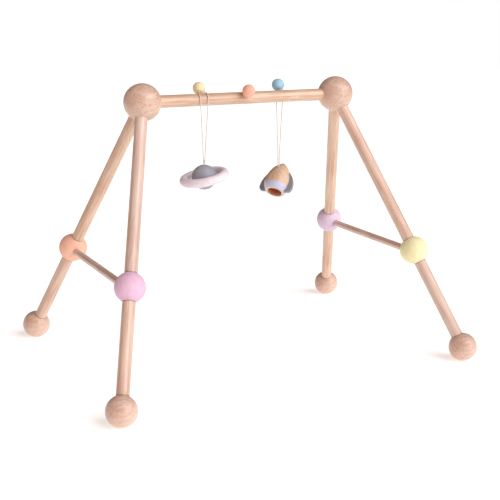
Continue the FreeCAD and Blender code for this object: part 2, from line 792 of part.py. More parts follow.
def check_pieces():
    """Stop if any object failed, or if a piece has no sound solid."""
    for item in doc.Objects:
        if "Invalid" in item.State or "Error" in item.State:
            raise RuntimeError(f"{item.Name} failed: {item.State}")
    for label, piece in pieces.items():
        shape = piece.Shape
        if shape.isNull() or not shape.isValid() or not shape.Solids:
            raise RuntimeError(f"{label} has no sound shape")
        print(f"{label}: solids {len(shape.Solids)}, volume {shape.Volume:.1f}")


def write_pieces():
    """Write each piece to its own STEP file."""
    os.makedirs("parts", exist_ok=True)
    for label, piece in pieces.items():
        piece.Shape.exportStep(f"parts/{label}.step")


for side_word, side_sign in SIDES.items():
    make_corner_ball(side_word, side_sign)
    make_cross_bar(side_word, side_sign)
    for end_word, end_sign in ENDS.items():
        where = f"{end_word}_{side_word}"
        make_upper_leg(where, side_sign, end_sign)
        make_joint_ball(where, side_sign, end_sign)
        make_lower_leg(where, side_sign, end_sign)
        make_foot_ball(where, side_sign, end_sign)
make_leg_fixings()
make_top_bar()
make_bar_fixings()
for peg_word, (peg_place, peg_lean) in PEGS.items():
    make_peg(peg_word, peg_place, peg_lean)
make_cord("planet", PLANET_ROUTE)
make_cord("rocket", ROCKET_ROUTE)
make_planet()
make_rocket()
doc.recompute()
check_pieces()
write_pieces()
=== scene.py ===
"""Activity play gym: the finishes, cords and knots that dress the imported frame.

Lengths are in metres unless a name ends in _mm. X runs along the top bar, Z is up and
-Y is the front.
"""

import logging
import math
from collections.abc import Mapping, Sequence
from dataclasses import dataclass, field
from enum import Enum

import bpy
from mathutils import Matrix, Vector


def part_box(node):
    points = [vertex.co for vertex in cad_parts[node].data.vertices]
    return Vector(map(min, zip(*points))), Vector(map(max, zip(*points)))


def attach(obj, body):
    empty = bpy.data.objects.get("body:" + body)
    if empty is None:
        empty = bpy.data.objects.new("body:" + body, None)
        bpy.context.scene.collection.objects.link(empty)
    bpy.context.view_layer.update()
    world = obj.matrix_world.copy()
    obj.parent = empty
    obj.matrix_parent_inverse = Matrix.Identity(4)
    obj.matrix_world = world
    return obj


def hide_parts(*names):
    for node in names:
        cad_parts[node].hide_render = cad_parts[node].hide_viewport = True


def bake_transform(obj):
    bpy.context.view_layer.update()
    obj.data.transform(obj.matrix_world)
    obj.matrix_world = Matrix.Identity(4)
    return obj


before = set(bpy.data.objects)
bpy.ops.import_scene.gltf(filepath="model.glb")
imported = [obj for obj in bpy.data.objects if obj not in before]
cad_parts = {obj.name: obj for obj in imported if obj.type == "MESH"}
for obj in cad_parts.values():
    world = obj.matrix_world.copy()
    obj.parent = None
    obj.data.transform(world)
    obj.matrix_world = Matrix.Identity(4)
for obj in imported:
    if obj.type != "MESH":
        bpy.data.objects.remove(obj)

log = logging.getLogger("play_gym")

MM = 0.001
# A wave pattern repeats over this share of its own unit.
WAVE_SHARE = 0.314
Point = tuple[float, float, float]
Paint = tuple[str, str, str]


class Side(Enum):
    """The two side frames."""

    LEFT = "left"
    RIGHT = "right"


class End(Enum):
    """The two ends of a side frame."""

    FRONT = "front"
    REAR = "rear"


class Tone(Enum):
    """How pale a piece of beech is, as a light, a middle and a dark colour."""

    PALE = ("#DFC8BC", "#CEAE9F", "#B08672")
    PINK = ("#E0C6B7", "#CEA995", "#AD7F69")
    TAN = ("#E2C9B3", "#CFA98F", "#AC7D5E")
    WARM = ("#E4CBB6", "#D0AE92", "#B07F58")


def linear(code: str) -> tuple[float, float, float, float]:
    """Turn an sRGB hex colour into a linear one.

    Args:
        code: The colour as #RRGGBB.

    Returns:
        Linear red, green, blue and an alpha of 1.
    """
    parts = [int(code[i : i + 2], 16) / 255 for i in (1, 3, 5)]
    red, green, blue = (
        p / 12.92 if p <= 0.04045 else ((p + 0.055) / 1.055) ** 2.4 for p in parts
    )
    return red, green, blue, 1.0


def add_node(
    tree: bpy.types.NodeTree,
    kind: str,
    inputs: Mapping[int | str, object] | None = None,
    **settings: object,
) -> bpy.types.Node:
    """Add one node to a material.

    Args:
        tree: The material's node tree.
        kind: The node's type.
        inputs: What goes into its sockets: an output to link, or a value to set.
        settings: The node's own properties.

    Returns:
        The new node.
    """
    node = tree.nodes.new(kind)
    for name, value in settings.items():
        setattr(node, name, value)
    for key, value in (inputs or {}).items():
        if isinstance(value, bpy.types.NodeSocket):
            tree.links.new(value, node.inputs[key])
        else:
            node.inputs[key].default_value = value
    return node


def new_material(name: str) -> tuple[bpy.types.Material, bpy.types.NodeTree]:
    """Make an empty node material.

    Args:
        name: The material's name.

    Returns:
        The material and its node tree.
    """
    material = bpy.data.materials.new(name)
    material.use_nodes = True
    material.node_tree.nodes.clear()
    return material, material.node_tree


def close_material(tree: bpy.types.NodeTree, shader: bpy.types.Node) -> None:
    """Send a shader to the material's output.

    Args:
        tree: The material's node tree.
        shader: The last shader.
    """
    add_node(tree, "ShaderNodeOutputMaterial", {"Surface": shader.outputs[0]})


def grain_turn(along: Vector) -> tuple[float, float, float]:
    """Give the turn that takes a pattern's own Z to the grain's direction.

    Args:
        along: The direction in which the fibres run.

    Returns:
        Euler angles for a mapping node.
    """
    return tuple(along.normalized().to_track_quat("Z", "Y").to_euler())


@dataclass(frozen=True)
class Place:
    """Where a pattern sits: its middle, and the way that its fibres run."""

    centre: Vector
    along: Vector

    def mapped(
        self, tree: bpy.types.NodeTree, size_mm: Point, shift_mm: Point = (0, 0, 0)
    ) -> bpy.types.NodeSocket:
        """Give pattern coordinates whose unit is a real size, with Z along the fibres.

        Args:
            tree: The material's node tree.
            size_mm: The real size of one unit, across, across and along the fibres.
            shift_mm: How far the pattern's middle stands from the piece's middle.

        Returns:
            The coordinates.
        """
        where = add_node(tree, "ShaderNodeTexCoord").outputs["Object"]
        mapping = add_node(
            tree,
            "ShaderNodeMapping",
            {
                "Vector": where,
                "Location": self.centre + Vector(shift_mm) * MM,
                "Rotation": grain_turn(self.along),
                "Scale": Vector(size_mm) * MM,
            },
            vector_type="TEXTURE",
        )
        return mapping.outputs[0]


# ---- Finishes ----


@dataclass(frozen=True)
class OiledBeech:
    """Steamed beech, turned, sanded fine and oiled.

    The oil leaves a soft satin skin, not a gloss. Growth rings show as broad quiet bands,
    the fibres as long streaks, and the rays as short darker dashes.
    """

    name: str
    tone: Tone
    ring_mm: float = 5.0
    # Real fibres are about 0.1 mm wide, so they are drawn coarser here to show at all.
    fibre_mm: Point = (1.3, 1.3, 38.0)
    # Real rays are about 0.3 by 1.5 mm, and drawn a little coarser for the same reason.
    ray_mm: Point = (0.75, 0.75, 5.0)
    cloud_mm: float = 26.0
    ring_share: float = 0.12
    pith_mm: Point = (9.0, 24.0, -52.0)
    # Painted shadow where the wood goes into a ball: its width, its strength and its colour.
    socket_shadow_width_mm: float = 2.2
    socket_shadow_strength: float = 0.75
    socket_shadow_colour: str = "#5E3A28"

    def colour(
        self, tree: bpy.types.NodeTree, place: Place
    ) -> tuple[bpy.types.NodeSocket, bpy.types.NodeSocket]:
        """Paint the grain.

        Args:
            tree: The material's node tree.
            place: Where the piece is and how its grain runs.

        Returns:
            The colour, and the height that its fibres stand up.
        """
        light, middle, dark = (linear(code) for code in self.tone.value)
        unit = self.ring_mm / WAVE_SHARE
        rings = add_node(
            tree,
            "ShaderNodeTexWave",
            {
                "Vector": place.mapped(tree, (unit, unit, unit * 6), self.pith_mm),
                "Scale": 1.0,
                "Distortion": 1.5,
                "Detail": 2.0,
                "Detail Scale": 1.2,
            },
            wave_type="RINGS",
            rings_direction="Z",
        ).outputs["Fac"]
        fibres = add_node(
            tree,
            "ShaderNodeTexNoise",
            {"Vector": place.mapped(tree, self.fibre_mm), "Scale": 1.0, "Detail": 4.0},
        ).outputs["Fac"]
        cloud = add_node(
            tree,
            "ShaderNodeTexNoise",
            {
                "Vector": place.mapped(tree, (self.cloud_mm, self.cloud_mm, self.cloud_mm * 3)),
                "Scale": 1.0,
                "Detail": 2.0,
            },
        ).outputs["Fac"]
        rays = add_node(
            tree,
            "ShaderNodeTexNoise",
            {"Vector": place.mapped(tree, self.ray_mm), "Scale": 1.0, "Detail": 1.0},
        ).outputs["Fac"]
        streaks = add_node(
            tree,
            "ShaderNodeMix",
            {0: self.ring_share, 2: fibres, 3: rings},
            data_type="FLOAT",
        ).outputs[0]
        spread = add_node(
            tree, "ShaderNodeMix", {0: 0.35, 2: streaks, 3: cloud}, data_type="FLOAT"
        ).outputs[0]
        to_middle = add_node(
            tree,
            "ShaderNodeMapRange",
            {"Value": spread, "From Min": 0.30, "From Max": 0.56},
        ).outputs[0]
        to_dark = add_node(
            tree,
            "ShaderNodeMapRange",
            {"Value": spread, "From Min": 0.50, "From Max": 0.72, "To Max": 0.7},
        ).outputs[0]
        pale = add_node(
            tree, "ShaderNodeMix", {0: to_middle, 6: light, 7: middle}, data_type="RGBA"
        ).outputs[2]
        grain = add_node(
            tree, "ShaderNodeMix", {0: to_dark, 6: pale, 7: dark}, data_type="RGBA"
        ).outputs[2]
        dashes = add_node(
            tree,
            "ShaderNodeMapRange",
            {"Value": rays, "From Min": 0.60, "From Max": 0.72, "To Max": 0.35},
        ).outputs[0]
        colour = add_node(
            tree, "ShaderNodeMix", {0: dashes, 6: grain, 7: dark}, data_type="RGBA"
        ).outputs[2]
        return colour, fibres

    def shader(
        self,
        tree: bpy.types.NodeTree,
        colour: bpy.types.NodeSocket,
        height: bpy.types.NodeSocket,
    ) -> bpy.types.Node:
        """Give the oiled skin over a colour.

        Args:
            tree: The material's node tree.
            colour: The wood's colour.
            height: How far the fibres stand up.

        Returns:
            The shader.
        """
        rough = add_node(
            tree,
            "ShaderNodeMapRange",
            {"Value": height, "From Min": 0.3, "From Max": 0.7, "To Min": 0.50, "To Max": 0.62},
        ).outputs[0]
        bump = add_node(
            tree,
            "ShaderNodeBump",
            {"Height": height, "Strength": 0.10, "Distance": 0.0004},
        ).outputs[0]
        return add_node(
            tree,
            "ShaderNodeBsdfPrincipled",
            {
                "Base Color": colour,
                "Roughness": rough,
                "Normal": bump,
                "IOR": 1.5,
                "Specular IOR Level": 0.5,
                "Coat Weight": 1.0,
                "Coat Roughness": 0.4,
            },
        )

    def paint_socket_shadow(
        self,
        tree: bpy.types.NodeTree,
        colour: bpy.types.NodeSocket,
        rims: Sequence[tuple[Vector, float]],
    ) -> bpy.types.NodeSocket:
        """Paint shadow onto the wood in the narrow ring where it goes into a ball, for the shade
        in the gap at the socket.

        Args:
            tree: The material's node tree.
            colour: The wood's colour.
            rims: Each ball's middle and radius.

        Returns:
            The colour with its painted shadow.
        """
        # Painted shade: a dark ring on the wood just outside each ball, darkest where the wood
        # meets the ball.
        for centre, radius in rims:
            place = Place(centre, Vector((0, 0, 1)))
            reach = add_node(
                tree,
                "ShaderNodeVectorMath",
                {0: place.mapped(tree, (1.0, 1.0, 1.0))},
                operation="LENGTH",
            ).outputs["Value"]
            socket_shadow_mask = add_node(
                tree,
                "ShaderNodeMapRange",
                {
                    "Value": reach,
                    "From Min": radius / MM + self.socket_shadow_width_mm,
                    "From Max": radius / MM,
                    "To Max": self.socket_shadow_strength,
                },
                interpolation_type="SMOOTHSTEP",
            ).outputs[0]
            colour = add_node(
                tree,
                "ShaderNodeMix",
                {0: socket_shadow_mask, 6: colour, 7: linear(self.socket_shadow_colour)},
                data_type="RGBA",
            ).outputs[2]
        return colour

    def material(
        self, place: Place, rims: Sequence[tuple[Vector, float]] = ()
    ) -> bpy.types.Material:
        """Make the material for one piece.

        Args:
            place: Where the piece is and how its grain runs.
            rims: The middle and radius of each ball that the piece goes into, where painted
                shadow darkens the wood.

        Returns:
            The material.
        """
        material, tree = new_material(self.name)
        grain, height = self.colour(tree, place)
        colour = self.paint_socket_shadow(tree, grain, rims)
        close_material(tree, self.shader(tree, colour, height))
        return material


@dataclass(frozen=True)
class MattPaint:
    """Water-based paint, sprayed in two thin coats on sanded beech.

    It is matt and even, with a faint orange peel, and lets a little of the grain through.
    """

    name: str
    shade: str
    deep: str
    peel_mm: float = 1.1
    patch_mm: float = 9.0
    grain_mm: Point = (1.4, 1.4, 22.0)
    rough: float = 0.58
    rough_swing: float = 0.06
    grain_share: float = 0.25

    def material(self, place: Place) -> bpy.types.Material:
        """Make the material for one piece.

        Args:
            place: Where the piece is and how its grain runs.

        Returns:
            The material.
        """
        material, tree = new_material(self.name)
        patches = add_node(
            tree,
            "ShaderNodeTexNoise",
            {
                "Vector": place.mapped(tree, (self.patch_mm,) * 3),
                "Scale": 1.0,
                "Detail": 3.0,
            },
        ).outputs["Fac"]
        grain = add_node(
            tree,
            "ShaderNodeTexNoise",
            {"Vector": place.mapped(tree, self.grain_mm), "Scale": 1.0, "Detail": 2.0},
        ).outputs["Fac"]
        peel = add_node(
            tree,
            "ShaderNodeTexNoise",
            {"Vector": place.mapped(tree, (self.peel_mm,) * 3), "Scale": 1.0, "Detail": 1.0},
        ).outputs["Fac"]
        blotch = add_node(
            tree,
            "ShaderNodeMix",
            {0: self.grain_share, 2: patches, 3: grain},
            data_type="FLOAT",
        ).outputs[0]
        share = add_node(
            tree,
            "ShaderNodeMapRange",
            {"Value": blotch, "From Min": 0.36, "From Max": 0.66},
        ).outputs[0]
        colour = add_node(
            tree,
            "ShaderNodeMix",
            {0: share, 6: linear(self.shade), 7: linear(self.deep)},
            data_type="RGBA",
        ).outputs[2]
        bump = add_node(
            tree,
            "ShaderNodeBump",
            {"Height": peel, "Strength": 0.10, "Distance": 0.0003},
        ).outputs[0]
        rough = add_node(
            tree,
            "ShaderNodeMapRange",
            {
                "Value": peel,
                "To Min": self.rough - self.rough_swing,
                "To Max": self.rough + self.rough_swing,
            },
        ).outputs[0]
        shader = add_node(
            tree,
            "ShaderNodeBsdfPrincipled",
            {
                "Base Color": colour,
                "Roughness": rough,
                "Normal": bump,
                "IOR": 1.48,
                "Specular IOR Level": 0.35,
            },
        )
        close_material(tree, shader)
        return material


@dataclass(frozen=True)
class TurnedMetal:
    """Machined steel or brass, with the fine rings that a lathe leaves."""

    name: str
    shade: str
    # Real tool marks are about 0.1 mm apart, and are drawn wider here to show at all.
    mark_mm: float = 0.5

    def material(self, place: Place) -> bpy.types.Material:
        """Make the material for one set of fixings.

        Args:
            place: Where the piece is and the axis that it was turned on.

        Returns:
            The material.
        """
        material, tree = new_material(self.name)
        unit = self.mark_mm / WAVE_SHARE
        marks = add_node(
            tree,
            "ShaderNodeTexWave",
            {"Vector": place.mapped(tree, (unit,) * 3), "Scale": 1.0, "Distortion": 0.4},
            wave_type="BANDS",
            bands_direction="Z",
        ).outputs["Fac"]
        rough = add_node(
            tree, "ShaderNodeMapRange", {"Value": marks, "To Min": 0.28, "To Max": 0.42}
        ).outputs[0]
        bump = add_node(
            tree, "ShaderNodeBump", {"Height": marks, "Strength": 0.08, "Distance": 0.0001}
        ).outputs[0]
        shader = add_node(
            tree,
            "ShaderNodeBsdfPrincipled",
            {
                "Base Color": linear(self.shade),
                "Metallic": 1.0,
                "Roughness": rough,
                "Normal": bump,
            },
        )
        close_material(tree, shader)
        return material


@dataclass(frozen=True)
class TwistedCotton:
    """Undyed cotton cord, three plies laid together.

    It is off-white and quite matt, with a soft edge of loose fibre that catches the light.
    """

    name: str
    shade: str = "#DCD3D2"
    deep: str = "#BFB5B3"
    thread_mm: float = 0.45

    def material(self) -> bpy.types.Material:
        """Make the cord's material.

        Returns:
            The material.
        """
        material, tree = new_material(self.name)
        place = Place(Vector(), Vector((0, 0, 1)))
        threads = add_node(
            tree,
            "ShaderNodeTexNoise",
            {"Vector": place.mapped(tree, (self.thread_mm,) * 3), "Scale": 1.0, "Detail": 2.0},
        ).outputs["Fac"]
        share = add_node(
            tree,
            "ShaderNodeMapRange",
            {"Value": threads, "From Min": 0.40, "From Max": 0.75},
        ).outputs[0]
        colour = add_node(
            tree,
            "ShaderNodeMix",
            {0: share, 6: linear(self.shade), 7: linear(self.deep)},
            data_type="RGBA",
        ).outputs[2]
        bump = add_node(
            tree, "ShaderNodeBump", {"Height": threads, "Strength": 0.35, "Distance": 0.0002}
        ).outputs[0]
        shader = add_node(
            tree,
            "ShaderNodeBsdfPrincipled",
            {
                "Base Color": colour,
                "Roughness": 0.9,
                "Normal": bump,
                "Specular IOR Level": 0.2,
                "Sheen Weight": 0.35,
                "Sheen Roughness": 0.5,
                "Sheen Tint": linear("#FFFFFF"),
            },
        )
        close_material(tree, shader)
        return material


# ---- Shapes ----


def box_centre(node: str) -> Vector:
    """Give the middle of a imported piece's box.

    Args:
        node: The piece's name.

    Returns:
        The middle.
    """
    low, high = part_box(node)
    return (low + high) / 2


def rim(node: str) -> tuple[Vector, float]:
    """Give a ball's middle and radius.

    Args:
        node: The ball's name.

    Returns:
        The middle and the radius.
    """
    low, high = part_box(node)
    radius = (high.x - low.x) / 2
    return high - Vector((radius, radius, radius)), radius


def dress(node: str, material: bpy.types.Material) -> None:
    """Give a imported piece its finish.

    Args:
        node: The piece's name.
        material: The finish.
    """
    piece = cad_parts[node]
    piece.data.materials.clear()
    piece.data.materials.append(material)
    log.info("dressed %s in %s", node, material.name)


def add_piece(
    name: str, data: bpy.types.ID, material: bpy.types.Material | None = None
) -> bpy.types.Object:
    """Put a new piece in the scene.

    Args:
        name: The piece's name.
        data: Its mesh or curve.
        material: Its finish.

    Returns:
        The piece.
    """
    piece = bpy.data.objects.new(name, data)
    bpy.context.scene.collection.objects.link(piece)
    if material is not None:
        data.materials.append(material)
    return piece


@dataclass(frozen=True)
class LaidRope:
    """The outside of a cord of three plies: a rounded three-lobed section that turns."""

    radius: float
    plies: int = 3
    lobe_depth: float = 0.14
    lay_length: float = 0.0075
    sides: int = 18

    def sweep(self, name: str, path: Sequence[Vector]) -> bpy.types.Mesh:
        """Draw the section along a line of points.

        Args:
            name: The mesh's name.
            path: The cord's centre line.

        Returns:
            The mesh, closed at both ends.
        """
        rings: list[tuple[float, float, float]] = []
        normal = None
        run = 0.0
        for index, point in enumerate(path):
            before = path[max(index - 1, 0)]
            after = path[min(index + 1, len(path) - 1)]
            ahead = (after - before).normalized()
            if normal is None:
                normal = ahead.orthogonal().normalized()
            normal = (normal - ahead * normal.dot(ahead)).normalized()
            side = ahead.cross(normal)
            run += (point - before).length
            twist = 2 * math.pi * run / self.lay_length
            for step in range(self.sides):
                angle = 2 * math.pi * step / self.sides
                lobe = abs(math.cos(self.plies * (angle - twist) / 2))
                reach = self.radius * (1 - self.lobe_depth * (1 - lobe))
                offset = normal * math.cos(angle) + side * math.sin(angle)
                rings.append(tuple(point + offset * reach))
        count = len(path)
        faces = [
            (
                row * self.sides + step,
                row * self.sides + (step + 1) % self.sides,
                (row + 1) * self.sides + (step + 1) % self.sides,
                (row + 1) * self.sides + step,
            )
            for row in range(count - 1)
            for step in range(self.sides)
        ]
        faces.append(tuple(reversed(range(self.sides))))
        faces.append(tuple(range((count - 1) * self.sides, count * self.sides)))
        mesh = bpy.data.meshes.new(name)
        mesh.from_pydata(rings, [], faces)
        mesh.shade_smooth()
        return mesh


# ---- Sub-assemblies ----


@dataclass(frozen=True)
class Lamp:
    """A broad soft light, like a large diffuser far away."""

    name: str
    place: Point
    spread_deg: float
    power: float
    tint: str


@dataclass
class Studio:
    """The floor, the light and the camera."""

    camera_place: Point = (-0.8254, -1.6309, 0.6518)
    # Azimuth, elevation and roll, in degrees.
    camera_turn: Point = (-27.254, 14.082, 0.2297)
    lens_mm: float = 72.22
    sensor_mm: float = 36.0
    view_depth: float = 50.0
    floor_half: float = 6.0
    floor_drop: float = 0.0002
    floor_shade: str = "#FAFAF9"
    floor_glow: float = 0.5
    lamps: Sequence[Lamp] = (
        Lamp("key", (1.1, -1.8, 1.4), 60.0, 2.6, "#FFFFFF"),
        Lamp("fill", (-1.9, -1.0, 0.4), 90.0, 0.3, "#FFA078"),
    )
    # The surround is brightest in this direction, and dim behind the gym.
    front: Point = (-0.25, -0.87, 0.42)
    surround_power: tuple[float, float] = (0.12, 0.42)
    surround_tint: str = "#FFF1E6"

    def build(self) -> None:
        """Make the camera, the floor and the lights."""
        self.add_camera()
        self.add_floor()
        self.add_lights()
        self.add_surround()

    def add_camera(self) -> None:
        """Stand the camera in front of the left side frame, a little above the bar."""
        azimuth, elevation, roll = (math.radians(angle) for angle in self.camera_turn)
        back = Vector(
            (
                math.sin(azimuth) * math.cos(elevation),
                -math.cos(azimuth) * math.cos(elevation),
                math.sin(elevation),
            )
        )
        right = (-back).cross(Vector((0, 0, 1))).normalized()
        up = back.cross(right)
        turned_right = right * math.cos(roll) + up * math.sin(roll)
        turned_up = up * math.cos(roll) - right * math.sin(roll)
        camera = bpy.data.cameras.new("camera")
        camera.lens = self.lens_mm
        camera.sensor_width = self.sensor_mm
        camera.clip_end = self.view_depth
        stand = bpy.data.objects.new("camera", camera)
        turn = Matrix((turned_right, turned_up, back)).transposed().to_4x4()
        stand.matrix_world = Matrix.Translation(self.camera_place) @ turn
        bpy.context.scene.collection.objects.link(stand)
        bpy.context.scene.camera = stand

    def add_floor(self) -> None:
        """Lay a plain pale floor under the feet."""
        material, tree = new_material("pale_matt_floor")
        shader = add_node(
            tree,
            "ShaderNodeBsdfPrincipled",
            {
                "Base Color": linear(self.floor_shade),
                "Roughness": 0.9,
                "Specular IOR Level": 0.1,
                "Emission Color": linear("#FFFFFF"),
                "Emission Strength": self.floor_glow,
            },
        )
        close_material(tree, shader)
        half, level = self.floor_half, -self.floor_drop
        corners = [
            (-half, -half, level),
            (half, -half, level),
            (half, half, level),
            (-half, half, level),
        ]
        mesh = bpy.data.meshes.new("floor")
        mesh.from_pydata(corners, [], [(0, 1, 2, 3)])
        add_piece("floor", mesh, material)

    def add_lights(self) -> None:
        """Hang a broad key light and a weak warm fill."""
        for lamp in self.lamps:
            light = bpy.data.lights.new(lamp.name, "SUN")
            light.angle = math.radians(lamp.spread_deg)
            light.energy = lamp.power
            light.color = linear(lamp.tint)[:3]
            stand = bpy.data.objects.new(lamp.name, light)
            stand.location = lamp.place
            stand.rotation_euler = (-Vector(lamp.place)).to_track_quat("-Z", "Y").to_euler()
            bpy.context.scene.collection.objects.link(stand)

    def add_surround(self) -> None:
        """Put a soft surround about the gym, bright in front only, and white to look at."""
        world = bpy.data.worlds.new("surround")
        world.use_nodes = True
        tree = world.node_tree
        tree.nodes.clear()
        seen = add_node(tree, "ShaderNodeLightPath").outputs["Is Camera Ray"]
        ahead = add_node(
            tree,
            "ShaderNodeVectorMath",
            {
                0: add_node(tree, "ShaderNodeTexCoord").outputs["Generated"],
                1: self.front,
            },
            operation="DOT_PRODUCT",
        ).outputs["Value"]
        dim, bright = self.surround_power
        strength = add_node(
            tree,
            "ShaderNodeMapRange",
            {"Value": ahead, "From Min": -0.4, "From Max": 0.9, "To Min": dim, "To Max": bright},
        ).outputs[0]
        soft = add_node(
            tree,
            "ShaderNodeBackground",
            {"Color": linear(self.surround_tint), "Strength": strength},
        ).outputs[0]
        plain = add_node(
            tree, "ShaderNodeBackground", {"Color": linear("#FFFFFF"), "Strength": 1.0}
        ).outputs[0]
        surround = add_node(tree, "ShaderNodeMixShader", {0: seen, 1: soft, 2: plain})
        add_node(tree, "ShaderNodeOutputWorld", {"Surface": surround.outputs[0]})
        bpy.context.scene.world = world
        bpy.context.scene.view_settings.view_transform = "Standard"


@dataclass
class HangingCord:
    """One toy's cord: up, round its peg on the bar, and down again, with its knots."""

    toy: str
    route: Sequence[Point]
    length: float
    knots: Mapping[str, tuple[Point, float]]
    # The strands bend over this height, where they leave the bar.
    bend_from: float = 0.4745
    bend_to: float = 0.4640
    diameter: float = 0.002
    spline_steps: int = 44
    # A knot's rope, as a share of the knot's radius, and the steps round it.
    knot_ply: float = 0.36
    knot_steps: int = 150
    finish: TwistedCotton = TwistedCotton("cotton_cord")

    def centre_line(self) -> list[Vector]:
        """Read the cord's centre line from its spline.

        Returns:
            Points along the spline, from one end of the cord to the other.
        """
        curve = bpy.data.curves.new(f"{self.toy}_route", "CURVE")
        curve.dimensions = "3D"
        spline = curve.splines.new("NURBS")
        spline.points.add(len(self.route) - 1)
        for control, point in zip(spline.points, self.route):
            control.co = (*point, 1.0)
        spline.order_u = 3
        spline.use_endpoint_u = True
        spline.resolution_u = self.spline_steps
        holder = bpy.data.objects.new(curve.name, curve)
        line = bpy.data.meshes.new_from_object(holder)
        points = [vertex.co.copy() for vertex in line.vertices]
        bpy.data.objects.remove(holder)
        bpy.data.curves.remove(curve)
        bpy.data.meshes.remove(line)
        return points

    def build(self) -> None:
        """Make the cord and its knots, and hang them on the bar."""
        cotton = self.finish.material()
        path = self.centre_line()
        rope = LaidRope(self.diameter / 2)
        sling = f"{self.toy}_sling"
        cord = add_piece(f"{self.toy}_hanging_cord", rope.sweep("cord", path), cotton)
        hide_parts(f"{self.toy}_cord", f"{self.toy}_loop")
        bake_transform(cord)
        for node, (centre, radius) in self.knots.items():
            knot = add_piece(f"{node}_tied", self.tie(Vector(centre), radius), cotton)
            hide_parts(node)
            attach(knot, sling)

    def tie(self, centre: Vector, radius: float) -> bpy.types.Mesh:
        """Tie an overhand knot that fills a ball.

        Args:
            centre: The ball's middle.
            radius: The ball's radius.

        Returns:
            The knot's mesh.
        """
        ply = self.knot_ply * radius
        spread = (radius - ply) / 3
        turns = [2 * math.pi * step / self.knot_steps for step in range(self.knot_steps + 1)]
        line = [
            centre
            + spread
            * Vector(
                (
                    math.sin(t) + 2 * math.sin(2 * t),
                    math.cos(t) - 2 * math.cos(2 * t),
                    -1.9 * math.sin(3 * t),
                )
            )
            for t in turns
        ]
        rope = LaidRope(ply, lay_length=1.8 * radius, sides=14)
        return rope.sweep("knot", line)


@dataclass
class GymFrame:
    """The stand: the top bar, the balls, the splayed legs, the cross bars and the pegs."""

    bar_tone: Tone = Tone.TAN
    upper_tones: Mapping[str, Tone] = field(
        default_factory=lambda: {
            "front_left": Tone.PALE,
            "rear_left": Tone.TAN,
            "front_right": Tone.PINK,
            "rear_right": Tone.TAN,
        }
    )
    lower_tones: Mapping[str, Tone] = field(
        default_factory=lambda: {
            "front_left": Tone.PINK,
            "rear_left": Tone.PINK,
            "front_right": Tone.PALE,
            "rear_right": Tone.TAN,
        }
    )
    joint_paints: Mapping[str, Paint] = field(
        default_factory=lambda: {
            "front_left": ("pink_matt_paint", "#E3BED7", "#DDB4CE"),
            "rear_left": ("orange_matt_paint", "#F4C2AC", "#EDB49B"),
            "front_right": ("yellow_matt_paint", "#F3ECC2", "#EBE2B2"),
            "rear_right": ("lavender_matt_paint", "#DFCCE1", "#D3BDD7"),
        }
    )
    peg_paints: Mapping[str, Paint] = field(
        default_factory=lambda: {
            "left": ("pale_yellow_matt_paint", "#F2E4C0", "#EBD9AE"),
            "middle": ("coral_matt_paint", "#F6BBA6", "#EEAA94"),
            "right": ("sky_blue_matt_paint", "#A4CDE2", "#93C0D9"),
        }
    )

    def build(self) -> None:
        """Dress every piece of the stand."""
        self.dress_bar()
        for side in Side:
            self.dress_side(side)
        self.dress_pegs()
        self.dress_fixings()

    def dress_bar(self) -> None:
        """Oil the top bar, with its grain along it."""
        place = Place(box_centre("top_bar"), Vector((1, 0, 0)))
        # The bar gets painted shadow where it goes into each corner ball.
        rims = [rim(f"corner_ball_{side.value}") for side in Side]
        dress("top_bar", OiledBeech("oiled_beech_bar", self.bar_tone).material(place, rims))

    def dress_side(self, side: Side) -> None:
        """Dress one side frame.

        Args:
            side: Which side frame.
        """
        corner = f"corner_ball_{side.value}"
        top = box_centre(corner)
        ball = OiledBeech(
            "oiled_beech_ball", Tone.PINK, ring_mm=7.0, ring_share=0.06, fibre_mm=(1.6, 1.6, 30.0)
        )
        dress(corner, ball.material(Place(top, Vector((1, 0.25, 0.12)))))
        bar = f"cross_bar_{side.value}"
        rail = OiledBeech("oiled_beech_rail", Tone.PALE)
        # The cross bar gets painted shadow where it goes into each joint ball.
        rims = [rim(f"joint_ball_{end.value}_{side.value}") for end in End]
        dress(bar, rail.material(Place(box_centre(bar), Vector((0, 1, 0))), rims))
        for end in End:
            word = f"{end.value}_{side.value}"
            foot = box_centre(f"foot_ball_{word}")
            along = top - foot
            joint = f"joint_ball_{word}"
            for part, tones, ball_end in (
                ("upper", self.upper_tones, corner),
                ("lower", self.lower_tones, f"foot_ball_{word}"),
            ):
                node = f"{part}_leg_{word}"
                leg = OiledBeech(f"oiled_beech_{part}_leg", tones[word])
                # The leg gets painted shadow where it goes into its joint ball and its end ball.
                rims = [rim(joint), rim(ball_end)]
                dress(node, leg.material(Place(box_centre(node), along), rims))
            dress(f"foot_ball_{word}", ball.material(Place(foot, Vector((1, -0.2, 0.2)))))
            paint = MattPaint(*self.joint_paints[word])
            dress(joint, paint.material(Place(box_centre(joint), along)))

    def dress_pegs(self) -> None:
        """Oil the pegs' stems and paint their balls."""
        for word, paint in self.peg_paints.items():
            stem = f"peg_stem_{word}"
            ball = f"peg_ball_{word}"
            along = box_centre(ball) - box_centre("top_bar")
            along.x = 0
            wood = OiledBeech("oiled_beech_peg", Tone.TAN, fibre_mm=(0.8, 0.8, 14.0))
            dress(stem, wood.material(Place(box_centre(stem), along)))
            coat = MattPaint(*paint, peel_mm=0.8, patch_mm=5.0)
            dress(ball, coat.material(Place(box_centre(ball), along)))

    def dress_fixings(self) -> None:
        """Give the hidden studs and inserts their metals."""
        metals = {
            "studs": TurnedMetal("zinc_plated_steel", "#C4C6C9"),
            "inserts": TurnedMetal("turned_brass", "#D9BC72"),
        }
        for kind, metal in metals.items():
            for place in ("leg", "bar"):
                node = f"{place}_{kind}"
                dress(node, metal.material(Place(box_centre(node), Vector((1, 0, 0)))))


